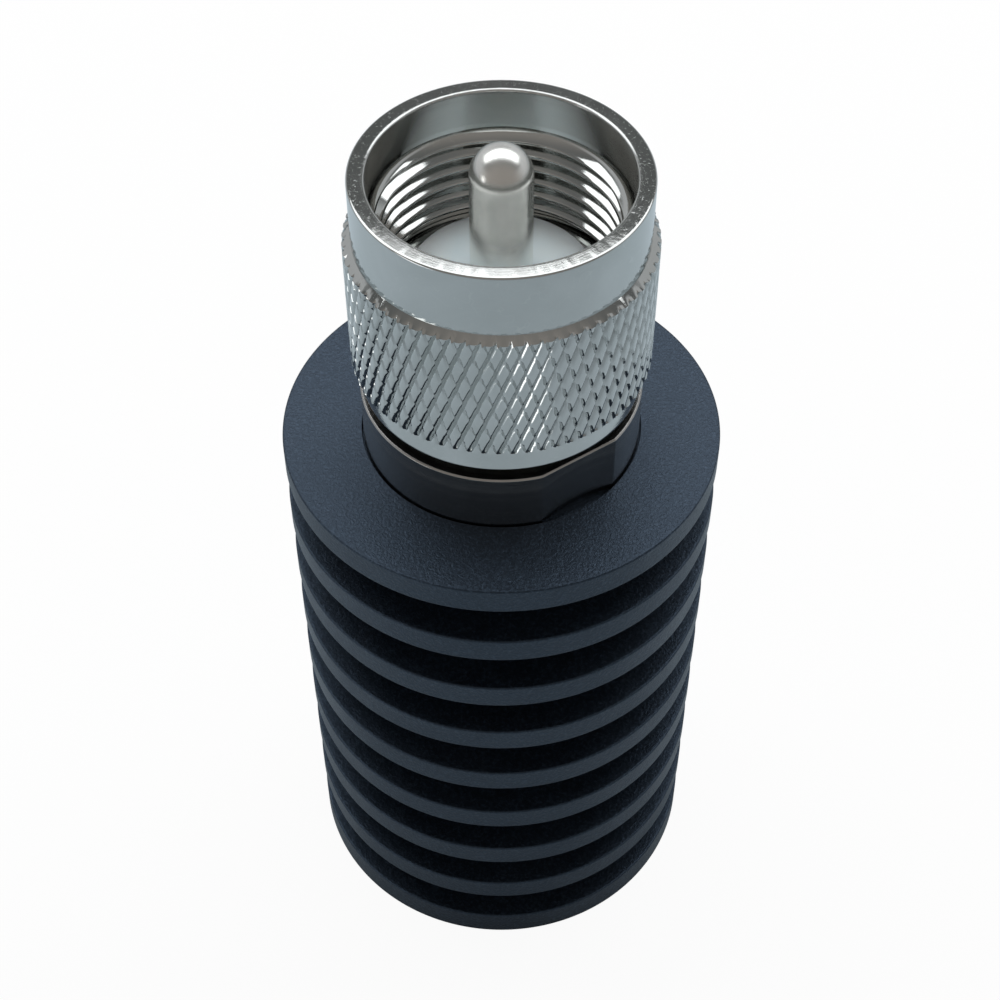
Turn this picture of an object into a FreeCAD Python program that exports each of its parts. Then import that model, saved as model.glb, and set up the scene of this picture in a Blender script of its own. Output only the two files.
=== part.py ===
import FreeCAD, Part
import math
import os

# Coaxial dummy load: a finned heat sink that carries a plug with a captive, knurled coupling nut.
# Millimetres. +Z runs up the axis, and the origin is the centre of the heat sink's foot.

Vector = FreeCAD.Vector
AXIS = Vector(0, 0, 1)

# How far an edge may lie from the plane that it is looked for in
plane_tolerance = 1e-6

# Clearances, each on the radius or on one side
press_gap = 0.03
screw_gap = 0.05
running_gap = 0.08

# Centre pin
pin_radius = 1.98
pin_reach = 9.9
pin_collar_width = 1.2
pin_collar_height = 1.2
pin_tail_radius = 1.2
pin_shank_relief = 0.2
pin_relief_rise = 0.1

# Insulators and the bores that they stand in
front_insulator_wall = 3.16
front_seat_depth = 7.6
waist_step = 1.0
waist_height = 6.0
rear_insulator_wall = 3.71

# Plug body, from its front end to its rear end
sleeve_wall = 0.7
sleeve_height = 1.9
shoulder_width = 1.1
neck_height = 7.2
flange_overhang = 1.45
flange_height = 4.4
flange_seat_depth = 0.5
flange_chamfer = 0.2
wrench_size = 18.0
wrench_angle = -56.0
body_thread_length = 6.5
thread_relief_length = 1.0
thread_relief_depth = 0.7
spigot_wall = 1.5
spigot_length = 3.0
turned_edge = 0.1
nib_width = 1.2
nib_reach = 0.9
nib_height = 0.9

# Retaining ring, in a groove of the neck and a groove of the nut
ring_lift = 3.0
ring_thickness = 1.0
ring_side_gap = 0.05
neck_groove_depth = 0.9
ring_spring_gap = 0.45
ring_width = 0.85
ring_split = 25.0

# Coupling nut
nut_gap = 0.85
nut_thread_radius = 7.94
nut_thread_depth = 0.44
nut_thread_length = 5.7
nut_wall = 1.41
nut_relief_depth = 0.11
nut_relief_length = 1.0
nut_mouth_depth = 2.8
nut_mouth_clearance = 0.28
nut_edge = 0.15
nut_foot_height = 1.68
nut_band_height = 4.42

# Diamond knurl of the nut: two families of grooves that cross
knurl_count = 67
knurl_rows = 7
knurl_row_height = 1.45
knurl_twist = 0.57
knurl_height = 0.55
knurl_depth = 0.4
knurl_bevel_height = 0.4
knurl_sink = 0.1

# Heat sink
fin_count = 9
fin_thickness = 2.05
foot_fin_thickness = 2.4
groove_width = 3.225
fin_depth = 4.5
fin_chamfer = 0.2
sink_wall = 2.45
sink_floor = 8.0
bore_relief = 0.4

# Load carrier and the resistor on its flat
carrier_inset = 0.5
carrier_collar_wall = 0.8
carrier_collar_drop = 0.2
carrier_flat_margin = 0.468
tab_end = 1.75
tab_side = 0.5
tab_thickness = 1.2
tab_edge_radius = 0.5
chip_size = 5.0
chip_thickness = 1.0
chip_side_gap = 0.3
lid_margin = 0.5
lid_thickness = 0.7
lead_width = 1.2
lead_thickness = 0.15
lead_inset = 2.0
lead_free_length = 6.0
lead_lap = 2.5
lead_stand_off = 1.0
solder_length = 1.8
solder_height = 0.5

# Screws of the resistor
screw_radius = 1.0
screw_tip_margin = 0.1
screw_head_radius = 1.8
screw_head_height = 1.2
screw_head_chamfer = 0.35
screw_recess_radius = 0.9
screw_recess_width = 0.45
screw_recess_depth = 0.7
washer_width = 0.95
washer_thickness = 0.3

# Heights along the axis
sink_height = foot_fin_thickness + (fin_count - 1) * (groove_width + fin_thickness)
flange_bottom = sink_height - flange_seat_depth
flange_top = sink_height + flange_height
neck_top = flange_top + neck_height
sleeve_top = neck_top + sleeve_height
front_seat = sleeve_top - front_seat_depth
collar_top = front_seat - waist_height
collar_bottom = collar_top - pin_collar_height
thread_bottom = flange_bottom - thread_relief_length - body_thread_length
spigot_bottom = thread_bottom - spigot_length
pin_tip = sleeve_top + pin_reach
ring_bottom = flange_top + ring_lift
knurl_length = knurl_rows * knurl_row_height
nut_bottom = flange_top + nut_gap
knurl_bottom = nut_bottom + nut_foot_height
knurl_top = knurl_bottom + knurl_length
nut_top = knurl_top + nut_band_height
nut_mouth = nut_top - nut_mouth_depth
nut_thread_bottom = nut_mouth - nut_thread_length
nut_relief_bottom = nut_thread_bottom - nut_relief_length

# Depths across the axis, from the pin tail's flat to the carrier's flat
lead_face = pin_tail_radius - lead_stand_off
chip_face = lead_face + lead_thickness
tab_face = chip_face + chip_thickness
carrier_flat = tab_face + tab_thickness

# Lengths across the carrier's flat, worked outwards from the chip
washer_radius = screw_radius + washer_width
screw_offset = chip_size / 2 + chip_side_gap + washer_radius
tab_half_length = screw_offset + tab_end
tab_half_width = max(chip_size / 2, washer_radius) + tab_side

# Radii, worked outwards from the pin and the resistor
front_bore = pin_radius + press_gap + front_insulator_wall + press_gap
waist_bore = front_bore - waist_step
rear_bore = pin_tail_radius + press_gap + rear_insulator_wall + press_gap
sleeve_radius = front_bore + sleeve_wall
neck_radius = sleeve_radius + shoulder_width
neck_groove_radius = neck_radius - neck_groove_depth
ring_inner = neck_groove_radius + ring_spring_gap
ring_outer = ring_inner + ring_width
spigot_radius = rear_bore + spigot_wall
nut_bore = neck_radius + running_gap
nut_band_radius = nut_thread_radius + nut_wall
knurl_radius = nut_band_radius + knurl_height
carrier_radius = max(math.hypot(tab_half_length, carrier_flat) + carrier_flat_margin,
                     spigot_radius + press_gap + carrier_collar_wall)
carrier_bore = carrier_radius + screw_gap
body_thread_radius = carrier_bore + carrier_inset
sink_thread_bore = body_thread_radius + screw_gap
flange_radius = max(body_thread_radius, neck_radius) + flange_overhang
root_radius = sink_thread_bore + sink_wall
sink_radius = root_radius + fin_depth
screw_tip = math.sqrt(carrier_radius ** 2 - (screw_offset + screw_radius) ** 2) - screw_tip_margin

# Places of the resistor along the axis
resistor_height = (sink_floor + spigot_bottom) / 2
chip_top = resistor_height + chip_size / 2
lead_top = chip_top + lead_free_length
tail_bottom = lead_top - lead_lap


def turned(outline):
    """Solid of revolution of a closed outline of (radius, height) points."""
    points = [Vector(radius, 0, height) for radius, height in outline]
    face = Part.Face(Part.makePolygon(points + points[:1]))
    return face.revolve(Vector(0, 0, 0), AXIS, 360)


def rod(radius, bottom, top):
    """Round bar on the axis."""
    return Part.makeCylinder(radius, top - bottom, Vector(0, 0, bottom))


def block(x_low, x_high, y_low, y_high, z_low, z_high):
    """Box between two corners."""
    return Part.makeBox(x_high - x_low, y_high - y_low, z_high - z_low, Vector(x_low, y_low, z_low))


def edges_at_height(shape, height):
    """Edges that lie wholly in the plane at a height."""
    return [edge for edge in shape.Edges
            if max(abs(edge.BoundBox.ZMin - height), abs(edge.BoundBox.ZMax - height)) < plane_tolerance]


def heat_sink():
    """Bar with round fins, a blind stepped bore and a shallow seat for the plug's flange."""
    outline = [(0, 0)]
    bottom = 0
    for index in range(fin_count):
        top = bottom + (foot_fin_thickness if index == 0 else fin_thickness)
        if index > 0:
            outline.append((root_radius, bottom))
        outline += [(sink_radius - fin_chamfer, bottom), (sink_radius, bottom + fin_chamfer),
                    (sink_radius, top - fin_chamfer), (sink_radius - fin_chamfer, top)]
        if index < fin_count - 1:
            outline.append((root_radius, top))
        bottom = top + groove_width
    seat_radius = flange_radius + turned_edge
    step = thread_bottom - bore_relief
    outline += [(seat_radius, sink_height), (seat_radius, flange_bottom), (sink_thread_bore, flange_bottom),
                (sink_thread_bore, step), (carrier_bore, step), (carrier_bore, sink_floor), (0, sink_floor)]
    return turned(outline)


def wrench_flange():
    """Round flange with two spanner flats over its whole height, and a broken top edge."""
    flange = rod(flange_radius, flange_bottom, flange_top)
    reach = 2 * flange_radius
    for side in (0, 180):
        flat = block(wrench_size / 2, reach, -reach, reach, flange_bottom - reach, flange_top + reach)
        flat.rotate(Vector(0, 0, 0), AXIS, wrench_angle + side)
        flange = flange.cut(flat)
    return flange.makeChamfer(flange_chamfer, edges_at_height(flange, flange_top))


def connector_body():
    """Plug body: spigot and thread below the flange, grooved neck, shoulder and thin sleeve above it."""
    relief_radius = body_thread_radius - thread_relief_depth
    stem = turned([
        (0, spigot_bottom), (spigot_radius - turned_edge, spigot_bottom), (spigot_radius, spigot_bottom + turned_edge),
        (spigot_radius, thread_bottom), (body_thread_radius - turned_edge, thread_bottom),
        (body_thread_radius, thread_bottom + turned_edge), (body_thread_radius, flange_bottom - thread_relief_length),
        (relief_radius, flange_bottom - thread_relief_length), (relief_radius, flange_bottom + turned_edge),
        (neck_radius, flange_bottom + turned_edge), (neck_radius, ring_bottom - ring_side_gap),
        (neck_groove_radius, ring_bottom - ring_side_gap),
        (neck_groove_radius, ring_bottom + ring_thickness + ring_side_gap),
        (neck_radius, ring_bottom + ring_thickness + ring_side_gap),
        (neck_radius, neck_top - turned_edge), (neck_radius - turned_edge, neck_top), (sleeve_radius, neck_top),
        (sleeve_radius, sleeve_top - turned_edge), (sleeve_radius - turned_edge, sleeve_top), (0, sleeve_top)])
    bore = turned([
        (0, spigot_bottom), (rear_bore, spigot_bottom), (rear_bore, collar_top), (waist_bore, collar_top),
        (waist_bore, front_seat), (front_bore, front_seat), (front_bore, sleeve_top), (0, sleeve_top)])
    body = stem.fuse([wrench_flange()] + locating_nibs()).cut(bore)
    return body.removeSplitter()


def locating_nibs():
    """Two small teeth on the shoulder that drop into the notches of a socket."""
    nibs = []
    for side in (0, 180):
        nib = block(sleeve_radius - sleeve_wall / 2, sleeve_radius + nib_reach, -nib_width / 2, nib_width / 2,
                    neck_top - turned_edge, neck_top + nib_height)
        nib.rotate(Vector(0, 0, 0), AXIS, side)
        nibs.append(nib)
    return nibs


def nut_retaining_ring():
    """Split ring that snaps into the neck's groove and stands out into the nut's groove."""
    ring = rod(ring_outer, ring_bottom, ring_bottom + ring_thickness)
    ring = ring.cut(rod(ring_inner, ring_bottom, ring_bottom + ring_thickness))
    reach = 2 * ring_outer
    half_angle = math.radians(ring_split / 2)
    corner_x = reach * math.cos(half_angle)
    corner_y = reach * math.sin(half_angle)
    wedge = Part.Face(Part.makePolygon([
        Vector(0, 0, ring_bottom), Vector(corner_x, -corner_y, ring_bottom),
        Vector(corner_x, corner_y, ring_bottom), Vector(0, 0, ring_bottom)]))
    return ring.cut(wedge.extrude(AXIS * ring_thickness))


def knurled_bar():
    """Bar with a skin of four-sided points: low where two grooves cross, and high half way between."""
    step_angle = 2 * math.pi / knurl_count
    valley_radius = knurl_radius - knurl_depth

    def net_point(radius, step, row):
        angle = step * step_angle
        return Vector(radius * math.cos(angle), radius * math.sin(angle), knurl_bottom + row * knurl_row_height)

    faces = []
    for row in range(knurl_rows + 1):
        rim = []
        for tooth in range(knurl_count):
            left_step = tooth + row * knurl_twist
            left = net_point(valley_radius, left_step, row)
            tip = net_point(knurl_radius, left_step + 0.5, row)
            right = net_point(valley_radius, left_step + 1, row)
            triangles = []
            if row < knurl_rows:
                above = net_point(valley_radius, left_step + knurl_twist, row + 1)
                triangles += [(left, tip, above), (tip, right, above)]
            if row > 0:
                below = net_point(valley_radius, left_step + 1 - knurl_twist, row - 1)
                triangles += [(left, below, tip), (tip, below, right)]
            faces += [Part.Face(Part.makePolygon([a, b, c, a])) for a, b, c in triangles]
            rim += [left, tip]
        if row in (0, knurl_rows):
            faces.append(Part.Face(Part.makePolygon(rim + rim[:1])))
    skin = Part.makeShell(faces)
    skin.sewShape()
    return Part.Solid(skin)


def knurled_sleeve(core):
    """Knurled bar turned down to a sleeve, with a bevel at each end that its grooves run out through."""
    low = nut_band_radius - knurl_sink
    high = knurl_radius + knurl_sink
    run = (high - low) * knurl_bevel_height / knurl_height
    envelope = turned([(core, knurl_bottom), (low, knurl_bottom), (high, knurl_bottom + run),
                       (high, knurl_top - run), (low, knurl_top), (core, knurl_top)])
    return knurled_bar().common(envelope)


def coupling_nut():
    """Knurled nut: bore that runs on the neck, groove for the ring, relief, thread and plain mouth."""
    thread_minor = nut_thread_radius - nut_thread_depth
    relief = nut_thread_radius + nut_relief_depth
    mouth = nut_thread_radius + nut_mouth_clearance
    groove = ring_outer + running_gap
    groove_bottom = ring_bottom - ring_side_gap
    groove_top = ring_bottom + ring_thickness + ring_side_gap
    shell = turned([
        (nut_bore, nut_bottom), (nut_band_radius - nut_edge, nut_bottom), (nut_band_radius, nut_bottom + nut_edge),
        (nut_band_radius, nut_top - nut_edge),
        (nut_band_radius - nut_edge, nut_top), (mouth + nut_edge, nut_top), (mouth, nut_top - nut_edge),
        (mouth, nut_mouth), (thread_minor, nut_mouth - nut_thread_depth),
        (thread_minor, nut_thread_bottom), (relief, nut_thread_bottom),
        (relief, nut_relief_bottom), (nut_bore, nut_relief_bottom),
        (nut_bore, groove_top), (groove, groove_top), (groove, groove_bottom), (nut_bore, groove_bottom)])
    return shell.fuse(knurled_sleeve(core=(mouth + nut_band_radius) / 2))


def front_insulator():
    """Stepped insulator whose round face shows at the bottom of the socket."""
    outer = front_bore - press_gap
    waist = waist_bore - press_gap
    hole = pin_radius + press_gap
    return turned([(hole, collar_top), (waist, collar_top), (waist, front_seat), (outer, front_seat),
                   (outer, sleeve_top), (hole, sleeve_top)])


def rear_insulator():
    """Plain bead behind the pin's collar, flush with the end of the spigot."""
    outer = rear_bore - press_gap
    hole = pin_tail_radius + press_gap
    return turned([(hole, spigot_bottom), (outer, spigot_bottom), (outer, collar_bottom), (hole, collar_bottom)])


def centre_pin():
    """Contact pin: ball nose, shank eased inside the insulator, collar behind it, tail with a soldering flat."""
    collar_radius = pin_radius + pin_collar_width
    shank_radius = pin_radius - pin_shank_relief
    shank_top = sleeve_top + pin_relief_rise
    shaft = turned([
        (0, tail_bottom), (pin_tail_radius, tail_bottom), (pin_tail_radius, collar_bottom),
        (collar_radius, collar_bottom), (collar_radius, collar_top), (shank_radius, collar_top),
        (shank_radius, shank_top), (pin_radius, shank_top), (pin_radius, pin_tip - pin_radius),
        (0, pin_tip - pin_radius)])
    nose = Part.makeSphere(pin_radius, Vector(0, 0, pin_tip - pin_radius))
    flat = block(-pin_tail_radius, pin_tail_radius, lead_face, 2 * pin_tail_radius, tail_bottom, lead_top)
    return shaft.fuse(nose).cut(flat).removeSplitter()


def load_carrier():
    """Half-round block that stands on the bore's floor, with a collar round the plug's spigot."""
    collar_low = spigot_bottom
    collar_high = thread_bottom - carrier_collar_drop
    shank = rod(carrier_radius, sink_floor, collar_low)
    shank = shank.cut(block(-carrier_radius, carrier_radius, -carrier_radius, carrier_flat, sink_floor, collar_low))
    collar = rod(carrier_radius, collar_low, collar_high)
    collar = collar.cut(rod(spigot_radius + press_gap, collar_low, collar_high))
    carrier = shank.fuse(collar)
    for x in screw_places():
        carrier = carrier.cut(cross_rod(screw_radius, x, carrier_flat, carrier_radius))
    return carrier


def screw_places():
    """Sideways places of the two screws of the resistor."""
    return (-screw_offset, screw_offset)


def cross_rod(radius, x, y_low, y_high):
    """Round bar across the axis, at the resistor's height."""
    return Part.makeCylinder(radius, y_high - y_low, Vector(x, y_low, resistor_height), Vector(0, 1, 0))


def resistor_flange():
    """Plated tab with rounded corners and two screw holes."""
    tab = block(-tab_half_length, tab_half_length, tab_face, carrier_flat,
                resistor_height - tab_half_width, resistor_height + tab_half_width)
    corners = [edge for edge in tab.Edges if abs(edge.BoundBox.YLength - tab_thickness) < plane_tolerance]
    tab = tab.makeFillet(tab_edge_radius, corners)
    for x in screw_places():
        tab = tab.cut(cross_rod(screw_radius + running_gap, x, tab_face, carrier_flat))
    return tab


def resistor_chip():
    """Ceramic chip soldered on the tab."""
    half = chip_size / 2
    return block(-half, half, chip_face, tab_face, resistor_height - half, resistor_height + half)


def resistor_lead():
    """Flat ribbon from the chip to the flat of the pin's tail."""
    return block(-lead_width / 2, lead_width / 2, lead_face, chip_face, chip_top - lead_inset, lead_top)


def resistor_lid():
    """Ceramic lid on the chip, notched over the ribbon."""
    half = chip_size / 2 - lid_margin
    lid = block(-half, half, chip_face - lid_thickness, chip_face, resistor_height - half, resistor_height + half)
    notch = block(-lead_width / 2 - screw_gap, lead_width / 2 + screw_gap, lead_face, chip_face,
                  chip_top - lead_inset - screw_gap, resistor_height + half)
    return lid.cut(notch)


def solder_joint():
    """Bead of solder along the ribbon, with ball ends, over the pin's tail."""
    radius = lead_width / 2
    depth = chip_face + solder_height - radius
    middle = tail_bottom + lead_lap / 2
    reach = (solder_length - lead_width) / 2
    bead = Part.makeCylinder(radius, 2 * reach, Vector(0, depth, middle - reach))
    for end in (middle - reach, middle + reach):
        bead = bead.fuse(Part.makeSphere(radius, Vector(0, depth, end)))
    return bead.cut(block(-lead_width, lead_width, -lead_width, chip_face, tail_bottom - lead_lap, lead_top))


def flange_screw(x):
    """Pan head screw with a cross recess."""
    head_bottom = tab_face - washer_thickness
    head_top = head_bottom - screw_head_height
    head = cross_rod(screw_head_radius, x, head_top, head_bottom)
    rim = [edge for edge in head.Edges if abs(edge.BoundBox.YMax - head_top) < plane_tolerance]
    head = head.makeChamfer(screw_head_chamfer, rim)
    for turn in (45, 135):
        slot = block(-screw_recess_radius, screw_recess_radius, head_top, head_top + screw_recess_depth,
                     -screw_recess_width / 2, screw_recess_width / 2)
        slot.rotate(Vector(0, 0, 0), Vector(0, 1, 0), turn)
        slot.translate(Vector(x, 0, resistor_height))
        head = head.cut(slot)
    shank = cross_rod(screw_radius - press_gap, x, head_bottom, screw_tip)
    return head.fuse(shank)


def flange_washer(x):
    """Flat washer under a screw head."""
    washer = cross_rod(washer_radius, x, tab_face - washer_thickness, tab_face)
    return washer.cut(cross_rod(screw_radius + running_gap, x, tab_face - washer_thickness, tab_face))


left, right = screw_places()
pieces = {
    "heat_sink": heat_sink(),
    "connector_body": connector_body(),
    "coupling_nut": coupling_nut(),
    "nut_retaining_ring": nut_retaining_ring(),
    "front_insulator": front_insulator(),
    "rear_insulator": rear_insulator(),
    "centre_pin": centre_pin(),
    "load_carrier": load_carrier(),
    "resistor_flange": resistor_flange(),
    "resistor_chip": resistor_chip(),
    "resistor_lid": resistor_lid(),
    "resistor_lead": resistor_lead(),
    "solder_joint": solder_joint(),
    "flange_screw_left": flange_screw(left),
    "flange_screw_right": flange_screw(right),
    "flange_washer_left": flange_washer(left),
    "flange_washer_right": flange_washer(right),
}

os.makedirs("parts", exist_ok=True)
for name, shape in pieces.items():
    shape.exportStep("parts/" + name + ".step")
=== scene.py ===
import math

import bpy
import numpy as np
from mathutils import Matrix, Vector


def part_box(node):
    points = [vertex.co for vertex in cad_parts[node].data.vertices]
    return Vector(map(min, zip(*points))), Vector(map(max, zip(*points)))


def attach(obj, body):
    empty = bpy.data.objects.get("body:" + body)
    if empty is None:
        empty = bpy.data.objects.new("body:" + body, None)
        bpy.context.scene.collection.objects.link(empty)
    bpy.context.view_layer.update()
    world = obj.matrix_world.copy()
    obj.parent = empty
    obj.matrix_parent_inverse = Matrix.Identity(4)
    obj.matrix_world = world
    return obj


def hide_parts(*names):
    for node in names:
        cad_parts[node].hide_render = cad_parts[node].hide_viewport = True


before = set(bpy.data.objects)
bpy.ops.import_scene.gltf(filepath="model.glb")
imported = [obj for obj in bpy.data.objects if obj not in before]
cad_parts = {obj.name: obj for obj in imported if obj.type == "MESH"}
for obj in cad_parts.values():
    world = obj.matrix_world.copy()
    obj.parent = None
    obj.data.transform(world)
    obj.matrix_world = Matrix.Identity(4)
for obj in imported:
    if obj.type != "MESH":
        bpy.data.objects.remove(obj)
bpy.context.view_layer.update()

mm = 0.001


# The heat sink is one bar of aluminium, turned with nine round fins and a blind stepped bore and then
# anodised black. It stands on its foot, and the plug screws into its top.

_, sink_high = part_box("heat_sink")
plug_low, plug_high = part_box("connector_body")
sink_radius = sink_high.x
sink_height = sink_high.z
flange_radius = max(plug_high.x, -plug_low.y)
fin_count = 9
fin_thickness = 2.05 * mm
foot_fin_thickness = 2.4 * mm
fin_pitch = (sink_height - foot_fin_thickness) / (fin_count - 1)
fin_depth = 4.5 * mm
fin_edge = 0.13 * mm
fin_root_round = 0.25 * mm
seat_depth = 0.5 * mm
seat_clearance = 0.1 * mm
sink_floor = 8.0 * mm
carrier_bore = 7.5 * mm
thread_bore = 8.05 * mm
thread_bore_depth = 8.4 * mm
bore_round = 0.15 * mm
sink_columns = 216


def rounded(corners, closed=False, steps=4):
    """Outline with round corners, from rows of (radius, height, fillet). A fillet touches both sides at
    fillet / tan(half the angle) from its corner. Its points are the fillet's centre plus a vector as
    long as the fillet that swings from one contact to the other, and a point a little past each
    contact keeps the side flat. An open outline keeps its two end points as they are. A corner with no
    fillet has a vector of no length, which is taken as the shortest so that nothing divides by 0."""
    past_contact = 0.6
    shortest = 1e-12
    corners = np.array(corners, float)
    places, fillets = corners[:, :2], corners[:, 2:]
    back = np.roll(places, 1, axis=0) - places
    ahead = np.roll(places, -1, axis=0) - places
    back /= np.linalg.norm(back, axis=1, keepdims=True)
    ahead /= np.linalg.norm(ahead, axis=1, keepdims=True)
    half_angle = np.arccos(np.sum(back * ahead, axis=1, keepdims=True).clip(-1, 1)) / 2
    middle = (back + ahead) / np.linalg.norm(back + ahead, axis=1, keepdims=True)
    centres = places + middle * fillets / np.sin(half_angle)
    first = places + back * fillets / np.tan(half_angle)
    last = places + ahead * fillets / np.tan(half_angle)
    share = np.linspace(0, 1, steps + 1)[None, :, None]
    swing = (1 - share) * (first - centres)[:, None] + share * (last - centres)[:, None]
    swing *= fillets[:, None] / np.linalg.norm(swing, axis=2, keepdims=True).clip(shortest)
    points = np.concatenate([(first + back * fillets * past_contact)[:, None], centres[:, None] + swing,
                             (last + ahead * fillets * past_contact)[:, None]], axis=1)
    if closed:
        return points.reshape(-1, 2)
    return np.vstack([places[:1], points[1:-1].reshape(-1, 2), places[-1:]])


def ring_angles(columns):
    """Angles of the columns round the axis, evenly spaced, without the last that repeats the first."""
    return np.linspace(0, 2 * math.pi, columns, endpoint=False)


def revolved(outline, angles):
    """Grid of points: each (radius, height) of the outline turned to each angle round the axis."""
    radius, height = outline[:, :1], outline[:, 1:]
    return np.stack([radius * np.cos(angles), radius * np.sin(angles), height + 0 * angles], axis=-1)


def skin(name, grid, closed=False, wind=0, sharp=35):
    """Solid's surface through a grid of points, with rows along the outline and columns round the axis.
    Each square of neighbours is two triangles, cut from its lower right to its upper left. A closed
    outline joins its last row to its first, wind columns on. An open one starts and ends on the axis,
    where one point stands for the row and the triangles are a fan. Edges sharper than the angle in
    degrees stay crisp."""
    rings = grid if closed else grid[1:-1]
    number = np.arange(rings.shape[0] * rings.shape[1]).reshape(rings.shape[:2])
    row_above = np.roll(number, -1, axis=0)
    row_above[-1] = np.roll(row_above[-1], -wind)
    joined = len(number) if closed else len(number) - 1
    left, above = number[:joined], row_above[:joined]
    right, above_right = np.roll(left, -1, axis=1), np.roll(above, -1, axis=1)
    faces = [np.stack([left, right, above], axis=-1).reshape(-1, 3),
             np.stack([right, above_right, above], axis=-1).reshape(-1, 3)]
    points = [rings.reshape(-1, 3)]
    if not closed:
        first, last = number[0], number[-1]
        start, end = np.full_like(first, number.size), np.full_like(last, number.size + 1)
        points += [grid[0, :1], grid[-1, :1]]
        faces += [np.stack([start, np.roll(first, -1), first], axis=-1),
                  np.stack([last, np.roll(last, -1), end], axis=-1)]
    mesh = bpy.data.meshes.new(name)
    mesh.from_pydata(np.concatenate(points), [], np.concatenate(faces))
    mesh.shade_smooth()
    mesh.set_sharp_from_angle(angle=math.radians(sharp))
    piece = bpy.data.objects.new(name, mesh)
    bpy.context.scene.collection.objects.link(piece)
    return piece


def fin_corners(index):
    """Corners of one fin's outline, from the root below it up its face to the root above it. The foot
    is thicker than the fins, and the fins' upper faces are evenly spaced."""
    top = foot_fin_thickness + index * fin_pitch
    bottom = top - (foot_fin_thickness if index == 0 else fin_thickness)
    root = sink_radius - fin_depth
    face = [(sink_radius, bottom, fin_edge), (sink_radius, top, fin_edge)]
    below = [(root, bottom, fin_root_round)] if index > 0 else []
    above = [(root, top, fin_root_round)] if index < fin_count - 1 else []
    return below + face + above


seat_bottom = sink_height - seat_depth
bore_step = sink_height - thread_bore_depth
seat_radius = flange_radius + seat_clearance
sink_outline = [(0, 0, 0)]
for fin in range(fin_count):
    sink_outline += fin_corners(fin)
sink_outline += [
    (seat_radius, sink_height, seat_clearance / 2), (seat_radius, seat_bottom, seat_clearance / 2),
    (thread_bore, seat_bottom, bore_round), (thread_bore, bore_step, bore_round),
    (carrier_bore, bore_step, bore_round), (carrier_bore, sink_floor, bore_round), (0, sink_floor, 0)]
heat_sink = skin("heat_sink_turned", revolved(rounded(sink_outline), ring_angles(sink_columns)))


def add(tree, kind, inputs=(), **properties):
    """Adds a node to a tree. Each input takes either a value or a link from another node's socket."""
    node = tree.nodes.new(kind)
    for key, value in properties.items():
        setattr(node, key, value)
    for key, value in dict(inputs).items():
        if isinstance(value, bpy.types.NodeSocket):
            tree.links.new(value, node.inputs[key])
        else:
            node.inputs[key].default_value = value
    return node


def effect(name, inputs, outputs):
    """New shader node group with float inputs, given with their usual values, and float outputs."""
    group = bpy.data.node_groups.new(name, "ShaderNodeTree")
    for label, value in inputs.items():
        socket = group.interface.new_socket(name=label, in_out="INPUT", socket_type="NodeSocketFloat")
        socket.default_value = value
    for label in outputs:
        group.interface.new_socket(name=label, in_out="OUTPUT", socket_type="NodeSocketFloat")
    return group


def radius_and_height(tree, place):
    """Distance of a place from the Z axis, and its height."""
    across = add(tree, "ShaderNodeVectorMath", {0: place, 1: (1, 1, 0)}, operation="MULTIPLY").outputs[0]
    radius = add(tree, "ShaderNodeVectorMath", {0: across}, operation="LENGTH").outputs["Value"]
    return radius, add(tree, "ShaderNodeSeparateXYZ", {0: place}).outputs["Z"]


def lathe_marks():
    """Fine rings that a lathe leaves: noise along one line, read at the height plus the distance from
    the axis, so that walls and end faces alike carry rings round the axis. Waver lets the rings fade
    in and out round the piece."""
    group = effect("lathe_marks", {"Lines per metre": 9000.0, "Waver": 0.15}, ["Height", "Shade"])
    source = add(group, "NodeGroupInput")
    place = add(group, "ShaderNodeTexCoord").outputs["Object"]
    radius, height = radius_and_height(group, place)
    travel = add(group, "ShaderNodeMath", {0: radius, 1: height}, operation="ADD")
    fine = add(group, "ShaderNodeTexNoise",
               {"W": travel.outputs[0], "Detail": 3.0, "Roughness": 0.7,
                "Scale": source.outputs["Lines per metre"]}, noise_dimensions="1D")
    cloud = add(group, "ShaderNodeTexNoise", {"Vector": place, "Scale": 160.0, "Detail": 2.0})
    sway = add(group, "ShaderNodeMath", {0: cloud.outputs["Fac"], 1: source.outputs["Waver"]},
               operation="MULTIPLY")
    result = add(group, "ShaderNodeMath", {0: fine.outputs["Fac"], 1: sway.outputs[0]}, operation="ADD")
    broad = add(group, "ShaderNodeTexNoise", {"W": travel.outputs[0], "Scale": 1400.0, "Detail": 2.0},
                noise_dimensions="1D")
    add(group, "NodeGroupOutput", {"Height": result.outputs[0], "Shade": broad.outputs["Fac"]})
    return group


def fine_grain():
    """Grain of a blasted or moulded skin: two sizes of noise in three dimensions. Height is for bump,
    and Fleck is the top of the noise, stretched to full range, for a sparse change of shade."""
    group = effect("fine_grain", {"Grains per metre": 5000.0, "Sparseness": 0.55}, ["Height", "Fleck"])
    source = add(group, "NodeGroupInput")
    place = add(group, "ShaderNodeTexCoord").outputs["Object"]
    noise = add(group, "ShaderNodeTexNoise",
                {"Vector": place, "Scale": source.outputs["Grains per metre"], "Detail": 2.5,
                 "Roughness": 0.6, "Distortion": 0.6}).outputs["Fac"]
    fleck = add(group, "ShaderNodeMapRange",
                {"Value": noise, "From Min": source.outputs["Sparseness"], "From Max": 0.8})
    add(group, "NodeGroupOutput", {"Height": noise, "Fleck": fleck.outputs["Result"]})
    return group


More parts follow.
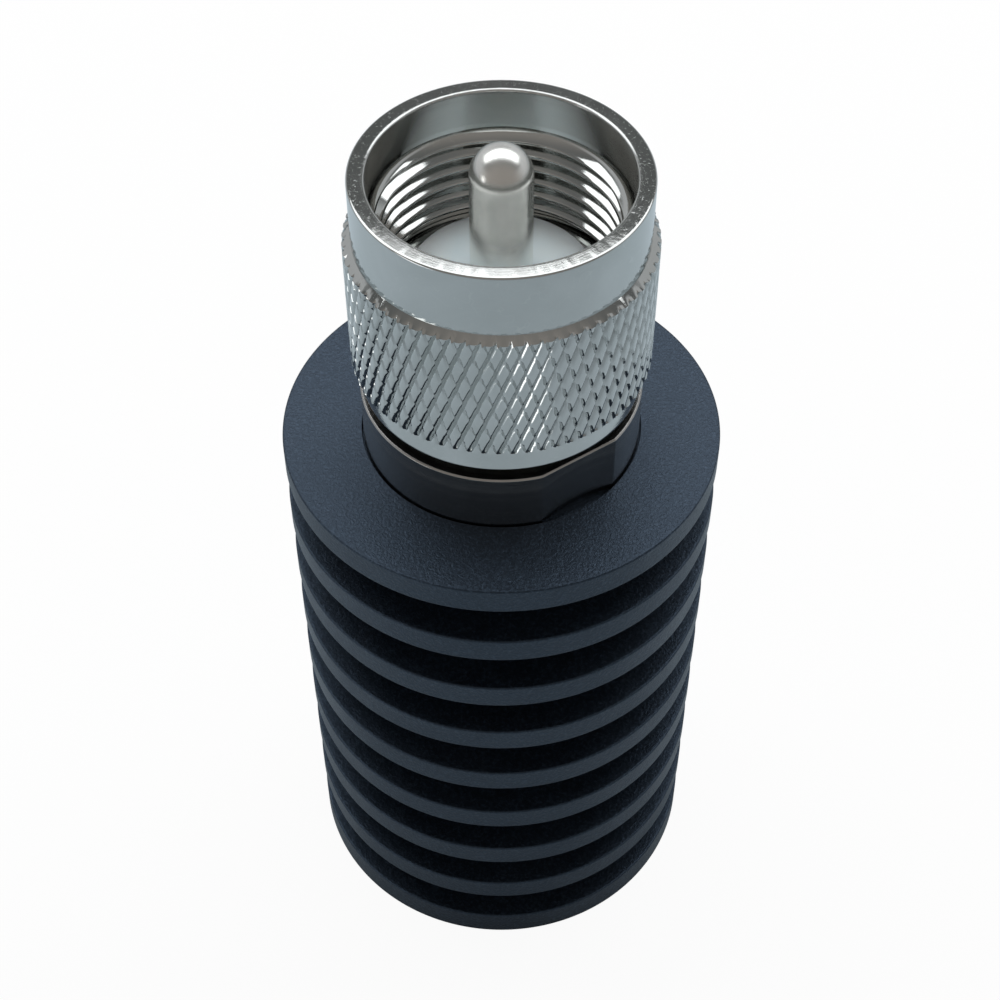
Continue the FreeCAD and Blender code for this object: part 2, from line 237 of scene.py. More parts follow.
def handling():
    """Smudges and fine scuffs of a handled part: a broad cloud for the smudges, and thin lines where a
    stretched and bent noise crosses its middle value for the scuffs."""
    group = effect("handling", {"Smudges per metre": 120.0, "Scuff width": 0.012}, ["Smudge", "Scuff"])
    source = add(group, "NodeGroupInput")
    place = add(group, "ShaderNodeTexCoord").outputs["Object"]
    cloud = add(group, "ShaderNodeTexNoise",
                {"Vector": place, "Scale": source.outputs["Smudges per metre"], "Detail": 4.0,
                 "Distortion": 0.8})
    smudge = add(group, "ShaderNodeMapRange",
                 {"Value": cloud.outputs["Fac"], "From Min": 0.35, "From Max": 0.68})
    skewed = add(group, "ShaderNodeMapping",
                 {"Vector": place, "Rotation": (0.5, 0.9, 0.3), "Scale": (1, 0.12, 1)})
    lines = add(group, "ShaderNodeTexNoise", {"Vector": skewed.outputs[0], "Scale": 900.0, "Detail": 1.0})
    middle = add(group, "ShaderNodeMath", {0: lines.outputs["Fac"], 1: 0.5}, operation="SUBTRACT")
    distance = add(group, "ShaderNodeMath", {0: middle.outputs[0]}, operation="ABSOLUTE")
    scuff = add(group, "ShaderNodeMapRange",
                {"Value": distance.outputs[0], "From Max": source.outputs["Scuff width"],
                 "To Min": 1.0, "To Max": 0.0})
    add(group, "NodeGroupOutput", {"Smudge": smudge.outputs["Result"], "Scuff": scuff.outputs["Result"]})
    return group


lathe_marks_group = lathe_marks()
fine_grain_group = fine_grain()
handling_group = handling()


def finish_of(name, **own):
    """New material with a Principled shader whose own sockets hold the values that don't vary."""
    material = bpy.data.materials.new(name)
    material.use_nodes = True
    shader = material.node_tree.nodes["Principled BSDF"]
    for key, value in own.items():
        shader.inputs[key.replace("_", " ")].default_value = value
    return material, material.node_tree, shader


def placed(tree, group, **inputs):
    """Node that stands for an effect in a material, with this material's values."""
    node = add(tree, "ShaderNodeGroup")
    node.node_tree = group
    for key, value in inputs.items():
        node.inputs[key.replace("_", " ")].default_value = value
    return node


def ranged(tree, value, low, high):
    """Value from 0 to 1 taken to a range from low to high."""
    node = add(tree, "ShaderNodeMapRange", {"Value": value, "To Min": low, "To Max": high})
    return node.outputs["Result"]


def blended(tree, share, first, second):
    """Colour between two, by a share that varies over the surface."""
    node = add(tree, "ShaderNodeMix", {"Factor": share}, data_type="RGBA")
    for socket, value in ((6, first), (7, second)):
        if isinstance(value, bpy.types.NodeSocket):
            tree.links.new(value, node.inputs[socket])
        else:
            node.inputs[socket].default_value = (*value, 1)
    return node.outputs[2]


def bumped(tree, height, depth, under=None):
    """Normal of a surface whose height runs from 0 to 1 over a depth in metres."""
    inputs = {"Height": height, "Distance": depth, "Strength": 1.0}
    if under is not None:
        inputs["Normal"] = under
    return add(tree, "ShaderNodeBump", inputs).outputs["Normal"]


def black_anodised():
    """Black anodising over blasted aluminium: near black with a blue cast, an even fine grain, a
    roughness that smudges change, and pale scuffs that are hardly seen."""
    material, tree, shader = finish_of("black_anodised", IOR=1.72, Specular_Tint=(0.52, 0.72, 1.0, 1.0))
    grain = placed(tree, fine_grain_group, Grains_per_metre=4800.0, Sparseness=0.48)
    hands = placed(tree, handling_group, Smudges_per_metre=90.0, Scuff_width=0.006)
    ground = blended(tree, grain.outputs["Fleck"], (0.0035, 0.005, 0.008), (0.034, 0.050, 0.072))
    scuffs = ranged(tree, hands.outputs["Scuff"], 0.0, 0.25)
    tree.links.new(blended(tree, scuffs, ground, (0.03, 0.034, 0.042)), shader.inputs["Base Color"])
    tree.links.new(ranged(tree, hands.outputs["Smudge"], 0.36, 0.46), shader.inputs["Roughness"])
    tree.links.new(bumped(tree, grain.outputs["Height"], 0.05 * mm), shader.inputs["Normal"])
    return material


heat_sink.data.materials.append(black_anodised())
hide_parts("heat_sink")
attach(heat_sink, "root")


# The load inside the bore: a half-round aluminium block carries a plated copper tab, and the tab
# carries a ceramic resistor with its lid and ribbon. Two pan head screws with washers hold the tab.
# All of it is closed in, so the solids of the frame stay, with finishes of their own.

def plated(name, dark, light, rough, depth):
    """Cut or plated metal: lathe or saw marks in its height and roughness, and smudges in its colour."""
    material, tree, shader = finish_of(name, Metallic=1.0)
    marks = placed(tree, lathe_marks_group, Lines_per_metre=7000.0)
    hands = placed(tree, handling_group)
    tree.links.new(blended(tree, hands.outputs["Smudge"], dark, light), shader.inputs["Base Color"])
    roughness = ranged(tree, marks.outputs["Shade"], rough - 0.08, rough + 0.1)
    tree.links.new(roughness, shader.inputs["Roughness"])
    tree.links.new(bumped(tree, marks.outputs["Height"], depth), shader.inputs["Normal"])
    return material


def fired(name, dark, light):
    """Fired ceramic: matte, with a fine grain in its colour and its height."""
    material, tree, shader = finish_of(name, Roughness=0.55)
    grain = placed(tree, fine_grain_group, Grains_per_metre=9000.0, Sparseness=0.45)
    tree.links.new(blended(tree, grain.outputs["Fleck"], dark, light), shader.inputs["Base Color"])
    tree.links.new(bumped(tree, grain.outputs["Height"], 0.01 * mm), shader.inputs["Normal"])
    return material


screw_steel = plated("screw_steel", (0.50, 0.50, 0.49), (0.62, 0.62, 0.60), 0.30, 0.004 * mm)
inner_finishes = {
    "load_carrier": plated("carrier_aluminium", (0.62, 0.63, 0.64), (0.74, 0.75, 0.76), 0.38, 0.008 * mm),
    "resistor_flange": plated("tab_plated", (0.66, 0.60, 0.46), (0.78, 0.72, 0.56), 0.28, 0.004 * mm),
    "resistor_chip": fired("chip_ceramic", (0.72, 0.71, 0.67), (0.80, 0.79, 0.75)),
    "resistor_lid": fired("lid_ceramic", (0.80, 0.79, 0.76), (0.87, 0.86, 0.83)),
    "resistor_lead": plated("lead_silver", (0.78, 0.77, 0.74), (0.88, 0.87, 0.84), 0.22, 0.002 * mm),
    "solder_joint": plated("solder", (0.52, 0.52, 0.53), (0.66, 0.66, 0.67), 0.24, 0.006 * mm),
    "flange_screw_left": screw_steel,
    "flange_screw_right": screw_steel,
    "flange_washer_left": screw_steel,
    "flange_washer_right": screw_steel,
}


def dress(node, material):
    """Gives a solid of the frame its finish, through the material slots of its object."""
    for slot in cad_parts[node].material_slots:
        slot.material = material


for node, material in inner_finishes.items():
    dress(node, material)


# The two insulators are turned from white PTFE. The rear one is closed in behind the pin's collar.
# The front one is stepped and stands on a seat in the plug body. Its head covers the end of the sleeve
# and shows as the floor of the socket.

insulator_low, insulator_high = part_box("front_insulator")
face_height = insulator_high.z
face_radius = insulator_high.x
insulator_bottom = insulator_low.z
waist_step = 1.0 * mm
waist_radius = face_radius - waist_step
insulator_seat_depth = 7.6 * mm
insulator_seat = face_height - insulator_seat_depth
pin_hole = 2.01 * mm
sleeve_radius = 5.9 * mm
head_height = 0.6 * mm
head_bottom = face_height - head_height
insulator_edge = 0.12 * mm
insulator_columns = 144

insulator_outline = rounded([
    (pin_hole, insulator_bottom, insulator_edge), (waist_radius, insulator_bottom, insulator_edge),
    (waist_radius, insulator_seat, insulator_edge), (face_radius, insulator_seat, insulator_edge),
    (face_radius, head_bottom, insulator_edge), (sleeve_radius, head_bottom, insulator_edge),
    (sleeve_radius, face_height, insulator_edge), (pin_hole, face_height, insulator_edge / 2)], closed=True)
front_insulator = skin("front_insulator_turned",
                       revolved(insulator_outline, ring_angles(insulator_columns)), closed=True)


def white_ptfe():
    """White PTFE off the lathe: a cool white with faint grey clouds, a waxy gloss, and fine rings."""
    material, tree, shader = finish_of("insulator_white", IOR=1.45, Subsurface_Weight=1.0,
                                       Subsurface_Scale=3 * mm, Subsurface_Radius=(1.0, 1.0, 1.0))
    marks = placed(tree, lathe_marks_group, Lines_per_metre=5200.0)
    hands = placed(tree, handling_group, Smudges_per_metre=200.0)
    tree.links.new(blended(tree, hands.outputs["Smudge"], (0.73, 0.86, 0.98), (0.79, 0.90, 0.99)),
                   shader.inputs["Base Color"])
    tree.links.new(ranged(tree, marks.outputs["Shade"], 0.14, 0.26), shader.inputs["Roughness"])
    tree.links.new(bumped(tree, marks.outputs["Height"], 0.003 * mm), shader.inputs["Normal"])
    return material


insulator_white = white_ptfe()
front_insulator.data.materials.append(insulator_white)
dress("rear_insulator", insulator_white)
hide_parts("front_insulator")
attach(front_insulator, "root")


# The contact pin is turned brass with a bright plating. Its ball nose is polished, its shank keeps
# the lathe's rings, and its collar is held between the insulators.

pin_low, pin_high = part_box("centre_pin")
pin_tip = pin_high.z
tail_bottom = pin_low.z
collar_radius = pin_high.x
pin_radius = 1.98 * mm
shank_relief = 0.2 * mm
shank_radius = pin_radius - shank_relief
shank_rise = 0.1 * mm
shank_top = face_height + shank_rise
tail_radius = 1.2 * mm
collar_top = insulator_bottom
collar_thickness = 1.2 * mm
collar_bottom = collar_top - collar_thickness
pin_edge = 0.06 * mm
tail_flat_place = 0.2 * mm
tail_flat_length = 2.5 * mm
nose_steps = 24
pin_columns = 144

nose_start = pin_tip - pin_radius
shaft_outline = rounded([
    (0, tail_bottom, 0), (tail_radius, tail_bottom, pin_edge), (tail_radius, collar_bottom, pin_edge),
    (collar_radius, collar_bottom, pin_edge), (collar_radius, collar_top, pin_edge),
    (shank_radius, collar_top, pin_edge), (shank_radius, shank_top, pin_edge / 2),
    (pin_radius, shank_top, pin_edge / 2), (pin_radius, nose_start, 0)])
nose_turns = np.linspace(0, math.pi / 2, nose_steps + 1)[1:, None]
nose_outline = np.hstack([pin_radius * np.cos(nose_turns), nose_start + pin_radius * np.sin(nose_turns)])
pin_grid = revolved(np.vstack([shaft_outline, nose_outline]), ring_angles(pin_columns))

# The end of the tail is filed flat, and the ribbon is soldered to that face.
on_flat = pin_grid[..., 2] < tail_bottom + tail_flat_length
pin_grid[..., 1] = np.where(on_flat, np.minimum(pin_grid[..., 1], tail_flat_place), pin_grid[..., 1])
centre_pin = skin("centre_pin_turned", pin_grid)


def pin_plating():
    """Bright silvery plating, satin on the nose. Below the nose the lathe's rings draw what it mirrors
    out along the axis, and the plating is a little worn."""
    material, tree, shader = finish_of("pin_plating", Metallic=1.0, Anisotropic_Rotation=0.25)
    marks = placed(tree, lathe_marks_group, Lines_per_metre=9000.0)
    hands = placed(tree, handling_group, Smudges_per_metre=300.0)
    place = add(tree, "ShaderNodeTexCoord").outputs["Object"]
    height = add(tree, "ShaderNodeSeparateXYZ", {0: place}).outputs["Z"]
    shank = add(tree, "ShaderNodeMapRange",
                {"Value": height, "From Min": nose_start - 0.1 * mm, "From Max": nose_start,
                 "To Min": 1.0, "To Max": 0.0}).outputs["Result"]
    bright = blended(tree, hands.outputs["Smudge"], (0.78, 0.78, 0.75), (0.87, 0.87, 0.84))
    worn = blended(tree, hands.outputs["Smudge"], (0.80, 0.81, 0.78), (0.88, 0.89, 0.86))
    tree.links.new(blended(tree, shank, bright, worn), shader.inputs["Base Color"])
    tree.links.new(ranged(tree, shank, 0.26, 0.15), shader.inputs["Roughness"])
    tree.links.new(ranged(tree, shank, 0.0, 0.92), shader.inputs["Anisotropic"])
    around = add(tree, "ShaderNodeTangent", direction_type="RADIAL", axis="Z")
    tree.links.new(around.outputs["Tangent"], shader.inputs["Tangent"])
    grain = placed(tree, fine_grain_group, Grains_per_metre=5500.0)
    rings = bumped(tree, marks.outputs["Height"], 0.002 * mm)
    tree.links.new(bumped(tree, grain.outputs["Height"], 0.0015 * mm, under=rings), shader.inputs["Normal"])
    return material


centre_pin.data.materials.append(pin_plating())
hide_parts("centre_pin")
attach(centre_pin, "root")


# The plug body is turned brass, nickel plated. Its flange is the dark ring on the plate, with two
# spanner flats. Above it a grooved neck carries the nut, and a thin sleeve holds the insulator.

flange_bottom = seat_bottom
flange_rise = 4.4 * mm
flange_top = sink_height + flange_rise
fitting_gap = 0.03 * mm
sleeve_top = plug_high.z - head_height - fitting_gap
spigot_bottom = plug_low.z
neck_drop = 1.9 * mm
neck_top = plug_high.z - neck_drop
sleeve_bore = 5.2 * mm
neck_radius = 7.0 * mm
waist_bore = waist_radius + fitting_gap
rear_bore = 4.97 * mm
spigot_radius = 6.47 * mm
plug_thread_radius = 8.0 * mm
plug_thread_depth = 0.5 * mm
plug_thread_pitch = 1.0 * mm
plug_thread_length = 7.5 * mm
plug_thread_start = 0.1 * mm
plug_thread_rows = 66
plug_relief_length = 1.0 * mm
plug_relief_depth = 0.7 * mm
plug_relief_radius = plug_thread_radius - plug_relief_depth
ring_low, ring_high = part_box("nut_retaining_ring")
ring_side_gap = 0.05 * mm
groove_bottom = ring_low.z - ring_side_gap
groove_top = ring_high.z + ring_side_gap
neck_groove_radius = 6.1 * mm
spanner_size = 18.0 * mm
spanner_angle = math.radians(-56)
flange_bevel = 0.1 * mm
flange_top_margin = 0.3 * mm
sharp_round = 0.04 * mm
tooth_width = 1.2 * mm
tooth_reach = 0.9 * mm
tooth_height = 0.9 * mm
plug_columns = 240
flat_end_step = math.radians(0.2)
thread_bottom = flange_bottom - plug_thread_length

# Three more columns stand close together at each end of a spanner flat, and keep its edge crisp.
flat_half = math.acos(spanner_size / 2 / flange_radius)
flat_ends = spanner_angle + np.array([0, math.pi])[:, None] + np.array([-flat_half, flat_half])
end_columns = flat_ends[..., None] + flat_end_step * np.array([-1, 0, 1])
plug_angles = np.sort(np.concatenate([ring_angles(plug_columns), end_columns.ravel() % (2 * math.pi)]))

below_thread = rounded([
    (rear_bore, (spigot_bottom + thread_bottom) / 2, 0), (rear_bore, spigot_bottom, pin_edge),
    (spigot_radius, spigot_bottom, pin_edge), (spigot_radius, thread_bottom, pin_edge),
    (plug_thread_radius - plug_thread_depth, thread_bottom, 0)])
thread_heights = np.linspace(thread_bottom + plug_thread_start, flange_bottom - plug_relief_length,
                             plug_thread_rows)
thread_rows = np.stack([np.full(plug_thread_rows, plug_thread_radius), thread_heights], axis=1)
relief_rows = rounded([
    (plug_relief_radius, flange_bottom - plug_relief_length, 0),
    (plug_relief_radius, flange_bottom, sharp_round), (spanner_size / 2 - flange_bevel, flange_bottom, 0)])
flange_rows = rounded([
    (flange_radius - sharp_round, flange_bottom, 0), (flange_radius, flange_bottom, sharp_round / 2),
    (flange_radius, flange_top - flange_bevel, sharp_round),
    (flange_radius - flange_bevel, flange_top, sharp_round),
    (flange_radius - 2 * flange_bevel, flange_top, 0)])
neck_rows = rounded([
    (neck_radius + flange_top_margin, flange_top, 0), (neck_radius, flange_top, sharp_round),
    (neck_radius, groove_bottom, sharp_round), (neck_groove_radius, groove_bottom, sharp_round),
    (neck_groove_radius, groove_top, sharp_round), (neck_radius, groove_top, sharp_round),
    (neck_radius, neck_top, pin_edge), (sleeve_radius + tooth_reach + sharp_round, neck_top, 0)])
tooth_rows = np.array([(sleeve_radius + tooth_reach, neck_top), (sleeve_radius, neck_top)])
sleeve_rows = rounded([
    (sleeve_radius, neck_top + tooth_height + sharp_round, 0), (sleeve_radius, sleeve_top, pin_edge),
    (sleeve_bore, sleeve_top, pin_edge), (sleeve_bore, insulator_seat, sharp_round),
    (waist_bore, insulator_seat, sharp_round), (waist_bore, insulator_bottom, sharp_round),
    (rear_bore, insulator_bottom, sharp_round), (rear_bore, (insulator_bottom + spigot_bottom) / 2, 0)])
plug_outline = [below_thread, thread_rows, relief_rows, flange_rows, neck_rows, tooth_rows, sleeve_rows]
plug_grid = revolved(np.vstack(plug_outline), plug_angles)


def helical(height, angle, pitch):
    """Section of a thread from 0 at its crest to 1 at its root: the height, less what the helix has
    climbed at that angle, is measured in pitches, and its distance from the nearest whole number
    makes a flat crest, straight flanks and a narrow root."""
    crest_share, flank_share = 0.15, 0.8
    phase = (height - pitch * angle / (2 * math.pi)) / pitch
    distance = 2 * np.abs(phase - np.round(phase))
    return ((distance - crest_share) / flank_share).clip(0, 1)


def scaled(rows, factor):
    """The rows of a grid with their distance from the axis multiplied by a factor for each point."""
    return np.concatenate([rows[..., :2] * factor[..., None], rows[..., 2:]], axis=-1)


def spans(outlines):
    """Rows that each outline takes up where they are stacked, as slices."""
    ends = np.cumsum([len(rows) for rows in outlines])
    return [slice(end - len(rows), end) for end, rows in zip(ends, outlines)]


_, threads, _, flange, _, teeth, _ = spans(plug_outline)
cut = plug_thread_depth * helical(thread_heights[:, None], plug_angles, plug_thread_pitch)
plug_grid[threads] = scaled(plug_grid[threads], 1 - cut / plug_thread_radius)

# A spanner flat limits the radius to its distance from the axis over the cosine of the angle from its
# middle. The bevel on the flange's top edge follows it.
inset = flange_radius - flange_rows[:, :1]
across_flats = (spanner_size / 2 - inset) / np.abs(np.cos(plug_angles - spanner_angle))
plug_grid[flange] = scaled(plug_grid[flange], np.minimum(1, across_flats / flange_rows[:, :1]))

# The two teeth are the points of the shoulder that lie near the X axis, lifted.
on_tooth = np.abs(plug_grid[teeth][..., 1]) < tooth_width / 2
plug_grid[teeth, :, 2] += tooth_height * on_tooth
plug_body = skin("connector_body_turned", plug_grid, closed=True)


def plug_nickel():
    """Nickel that has darkened: a smoky grey mirror with brushed rings, smudges and a few scuffs."""
    material, tree, shader = finish_of("plug_nickel", Metallic=1.0)
    marks = placed(tree, lathe_marks_group, Lines_per_metre=6500.0, Waver=0.5)
    hands = placed(tree, handling_group, Smudges_per_metre=150.0, Scuff_width=0.01)
    ground = blended(tree, hands.outputs["Smudge"], (0.42, 0.41, 0.40), (0.50, 0.49, 0.475))
    tree.links.new(blended(tree, ranged(tree, hands.outputs["Scuff"], 0, 0.4), ground, (0.6, 0.59, 0.57)),
                   shader.inputs["Base Color"])
    tree.links.new(ranged(tree, marks.outputs["Shade"], 0.12, 0.30), shader.inputs["Roughness"])
    tree.links.new(bumped(tree, marks.outputs["Height"], 0.006 * mm), shader.inputs["Normal"])
    return material


plug_body.data.materials.append(plug_nickel())
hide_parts("connector_body")
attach(plug_body, "root")


# The retaining ring is a split ring of spring steel. It snaps into the neck's groove, stands out into
# the nut's groove, and so keeps the nut on the plug while it turns. It is closed in.

spring_steel = plated("spring_steel", (0.36, 0.36, 0.37), (0.46, 0.46, 0.47), 0.30, 0.004 * mm)
dress("nut_retaining_ring", spring_steel)


# The coupling nut is turned brass, nickel plated. A diamond knurl between two plain bands gives the
# fingers a grip, and inside it has a plain mouth, a 24 turns per inch thread and a bore that runs on
# the neck.

nut_low, nut_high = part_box("coupling_nut")
nut_bottom = nut_low.z
nut_top = nut_high.z
knurl_radius = max(nut_high.x, nut_high.y)
knurl_count = 67
knurl_rows = 7
grid_per_pitch = 7
knurl_row_height = 1.45 * mm
knurl_height = 0.55 * mm
knurl_lead = 4
steep_groove_depth = 0.24 * mm
shallow_groove_depth = 0.13 * mm
steep_half_width = 0.20
shallow_half_width = 0.143
band_radius = knurl_radius - knurl_height
foot_height = 1.68 * mm
foot_taper = 0.2 * mm
knurl_bevel = 0.41 * mm
groove_run_out = 0.2 * mm
run_out_start = 0.7
knurl_bottom = nut_bottom + foot_height
knurl_top = knurl_bottom + knurl_rows * knurl_row_height
nut_edge = 0.12 * mm
mouth_edge = 0.16 * mm
mouth_radius = 8.22 * mm
mouth_depth = 2.8 * mm
mouth_bottom = nut_top - mouth_depth
nut_thread_length = 6.4 * mm
nut_thread_bottom = mouth_bottom - nut_thread_length
nut_thread_pitch = 25.4 / 24 * mm
nut_thread_crest = 7.42 * mm
nut_thread_depth = 0.65 * mm
nut_thread_rows = 100
thread_lead_length = 0.9 * mm
relief_radius = 8.1 * mm
relief_length = 0.4 * mm
relief_bottom = nut_thread_bottom - relief_length
nut_bore = 7.08 * mm
nut_groove_radius = 7.48 * mm
nick_count = 110
nick_depth = 0.003 * mm
nick_widths = (0.008, 0.016)
nick_seed = 24
edge_margin = 1.05
inner_edge_turn = 2.0

nut_foot = rounded([
    (nut_bore, groove_bottom, 0), (nut_bore, nut_bottom, nut_edge),
    (band_radius, nut_bottom, nut_edge), (band_radius - foot_taper, knurl_bottom, 0)])
knurl_steps = np.arange(1, knurl_rows * grid_per_pitch + 1) / grid_per_pitch
knurl_heights = knurl_bottom + knurl_steps * knurl_row_height
knurl_outline = np.stack([np.full(len(knurl_steps), band_radius), knurl_heights], axis=1)
nut_rim = rounded([
    (band_radius, knurl_top, 0), (band_radius, nut_top, nut_edge),
    (mouth_radius, nut_top, mouth_edge), (mouth_radius, mouth_bottom, 0)])[1:-1]
nut_thread = np.stack([np.full(nut_thread_rows, nut_thread_crest),
                       np.linspace(mouth_bottom, nut_thread_bottom, nut_thread_rows)], axis=1)
nut_inside = rounded([
    (relief_radius, nut_thread_bottom - sharp_round, 0), (relief_radius, relief_bottom, sharp_round),
    (nut_bore, relief_bottom, sharp_round), (nut_bore, groove_top, sharp_round),
    (nut_groove_radius, groove_top, sharp_round), (nut_groove_radius, groove_bottom, sharp_round),
    (nut_bore, groove_bottom, sharp_round), (nut_bore, nut_bottom, 0)], steps=2)[:-1]
nut_rows = [nut_foot, knurl_outline, nut_rim, nut_thread, nut_inside]
_, knurl_part, rim_part, thread_part, _ = spans(nut_rows)
nut_outline = np.vstack(nut_rows)

# Each row of diamonds winds the grid's columns on by the lead, which makes them lean with the steep
# grooves.
nut_columns = knurl_count * grid_per_pitch
column_step = 2 * math.pi / nut_columns
nut_wind = knurl_rows * knurl_lead
steps_up = np.zeros(len(nut_outline))
steps_up[knurl_part] = knurl_steps
steps_up[knurl_part.stop:] = knurl_rows
nut_angles = ring_angles(nut_columns) + column_step * knurl_lead * steps_up[:, None]
nut_radii = np.repeat(nut_outline[:, :1], nut_columns, axis=1)
nut_heights = np.repeat(nut_outline[:, 1:], nut_columns, axis=1)


def groove(turns, half_width):
    """Depth of a V groove, from 1 in its middle to 0 at its edges, where turns counts the grooves."""
    return (1 - np.abs(turns - np.round(turns)) / half_width).clip(0, 1)


def diamond_knurl(steps, radii):
    """Radius over the knurl. One family of grooves runs along the grid's columns, and the other falls
    by one groove for each row of diamonds, so both follow edges of the mesh. The deeper groove wins
    where they cross. A smooth bevel at each end turns the crests down to the plain bands, and the
    grooves run out on it."""
    column = np.arange(nut_columns) / grid_per_pitch
    steep = steep_groove_depth * groove(column + 0 * steps[:, None], steep_half_width)
    shallow = shallow_groove_depth * groove(column + steps[:, None], shallow_half_width)
    from_end = np.minimum(steps, knurl_rows - steps)[:, None] * knurl_row_height
    bevel = radii + (knurl_radius - radii) * (from_end / knurl_bevel).clip(0, 1)
    full_depth = ((from_end - knurl_bevel) / groove_run_out + run_out_start).clip(0, 1)
    return np.minimum(bevel, knurl_radius - full_depth * np.maximum(steep, shallow))


def nicked(angles):
    """Small dents along an edge: a sum of narrow bells at angles and with depths drawn once."""
    draw = np.random.default_rng(nick_seed)
    centres = draw.uniform(0, 2 * math.pi, nick_count)
    widths = draw.uniform(*nick_widths, nick_count)
    depths = draw.uniform(0.2, 1.0, nick_count) ** 2
    apart = (angles[..., None] - centres + math.pi) % (2 * math.pi) - math.pi
    return np.sum(depths * np.exp(-(apart / widths) ** 2), axis=-1)


nut_radii[knurl_part] = diamond_knurl(knurl_steps, nut_radii[knurl_part])

# The thread starts in a curved lead-in that falls away from the mouth's wall by the square of the
# depth.
thread_cut = nut_thread_depth * helical(nut_heights[thread_part], nut_angles[thread_part], nut_thread_pitch)
lead_in = mouth_radius - (mouth_bottom - nut_heights[thread_part]) ** 2 / thread_lead_length
nut_radii[thread_part] = np.maximum(nut_radii[thread_part] + thread_cut, lead_in)

# The nicks lie on the rim's two rounded edges. The turn keeps them from lining up across the rim.
on_inner_edge = nut_radii[rim_part] < mouth_radius + edge_margin * mouth_edge
on_outer_edge = nut_radii[rim_part] > band_radius - edge_margin * nut_edge
edge_size = np.where(on_inner_edge, mouth_edge, nut_edge)
on_edge = (nut_heights[rim_part] > nut_top - edge_margin * edge_size) & (on_inner_edge | on_outer_edge)
edge_turn = np.where(on_inner_edge, inner_edge_turn, 0.0)
nut_heights[rim_part] -= nick_depth * nicked(nut_angles[rim_part] + edge_turn) * on_edge
nut_grid = np.stack([nut_radii * np.cos(nut_angles), nut_radii * np.sin(nut_angles), nut_heights], axis=-1)
coupling_nut = skin("coupling_nut_turned", nut_grid, closed=True, wind=nut_wind, sharp=30)


def softened(mesh, first_row, last_row, columns):
    """Smooths the edges between two rows of a skin, where a helix crosses the rows and would look
    jagged."""
    ends = np.empty(2 * len(mesh.edges), int)
    mesh.edges.foreach_get("vertices", ends)
    rows = ends.reshape(-1, 2) // columns
    marks = mesh.attributes["sharp_edge"].data
    crisp = np.empty(len(mesh.edges), bool)
    marks.foreach_get("value", crisp)
    crisp &= ~((rows >= first_row) & (rows < last_row)).all(axis=1)
    marks.foreach_set("value", crisp)


softened(coupling_nut.data, thread_part.start + 1, thread_part.stop - 1, nut_columns)


def nut_nickel():
    """Bright nickel: a slightly warm mirror that the lathe's rings draw out along the axis, most of all
    on the mouth's wall, with clouds of fine haze, a few scuffs, and small knocks on the rim."""
    material, tree, shader = finish_of("nut_nickel", Metallic=1.0, Anisotropic_Rotation=0.25)
    marks = placed(tree, lathe_marks_group, Lines_per_metre=8000.0, Waver=0.4)
    hands = placed(tree, handling_group, Smudges_per_metre=140.0, Scuff_width=0.008)
    grain = placed(tree, fine_grain_group, Grains_per_metre=6000.0, Sparseness=0.5)
    ground = blended(tree, hands.outputs["Smudge"], (0.56, 0.575, 0.56), (0.64, 0.65, 0.64))
    tree.links.new(blended(tree, ranged(tree, hands.outputs["Scuff"], 0, 0.3), ground, (0.75, 0.75, 0.73)),
                   shader.inputs["Base Color"])
    haze = add(tree, "ShaderNodeMath", {0: marks.outputs["Shade"], 1: hands.outputs["Smudge"]},
               operation="MULTIPLY")
    radius, height = radius_and_height(tree, add(tree, "ShaderNodeTexCoord").outputs["Object"])
    within = add(tree, "ShaderNodeMapRange",
                 {"Value": radius, "From Min": mouth_radius + 0.3 * mm,
                  "From Max": mouth_radius + 0.1 * mm}).outputs["Result"]
    above = add(tree, "ShaderNodeMapRange",
                {"Value": height, "From Min": mouth_bottom,
                 "From Max": mouth_bottom + 0.3 * mm}).outputs["Result"]
    mouth = add(tree, "ShaderNodeMath", {0: within, 1: above}, operation="MULTIPLY").outputs[0]
    gloss = ranged(tree, haze.outputs[0], 0.05, 0.14)
    duller = add(tree, "ShaderNodeMath", {0: mouth, 1: 0.13, 2: gloss}, operation="MULTIPLY_ADD").outputs[0]
    tree.links.new(duller, shader.inputs["Roughness"])
    tree.links.new(ranged(tree, mouth, 0.5, 0.92), shader.inputs["Anisotropic"])
    rim = add(tree, "ShaderNodeMapRange",
              {"Value": height, "From Min": nut_top - 0.3 * mm,
               "From Max": nut_top - 0.15 * mm}).outputs["Result"]
    deepest = add(tree, "ShaderNodeMapRange", {"Value": grain.outputs["Fleck"], "From Min": 0.42})
    knocks = add(tree, "ShaderNodeMath", {0: deepest.outputs["Result"], 1: rim},
                 operation="MULTIPLY").outputs[0]
    rings = bumped(tree, marks.outputs["Height"], 0.001 * mm)
    grained = bumped(tree, grain.outputs["Height"], 0.001 * mm, under=rings)
    tree.links.new(bumped(tree, knocks, 0.0025 * mm, under=grained), shader.inputs["Normal"])
    around = add(tree, "ShaderNodeTangent", direction_type="RADIAL", axis="Z")
    tree.links.new(around.outputs["Tangent"], shader.inputs["Tangent"])
    return material


coupling_nut.data.materials.append(nut_nickel())
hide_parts("coupling_nut")
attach(coupling_nut, "nut")


# The studio: a pale floor, a wide soft panel above and behind with a brighter strip along it, a small
# white card at the left, a dim room with a pale wall, and a camera that looks down on the part as the
# photographer did.

floor_half = 1.5
floor_mesh = bpy.data.meshes.new("floor")
floor_mesh.from_pydata([(-floor_half, -floor_half, 0), (floor_half, -floor_half, 0),
                        (floor_half, floor_half, 0), (-floor_half, floor_half, 0)], [], [(0, 1, 2, 3)])
floor = bpy.data.objects.new("floor", floor_mesh)
bpy.context.scene.collection.objects.link(floor)


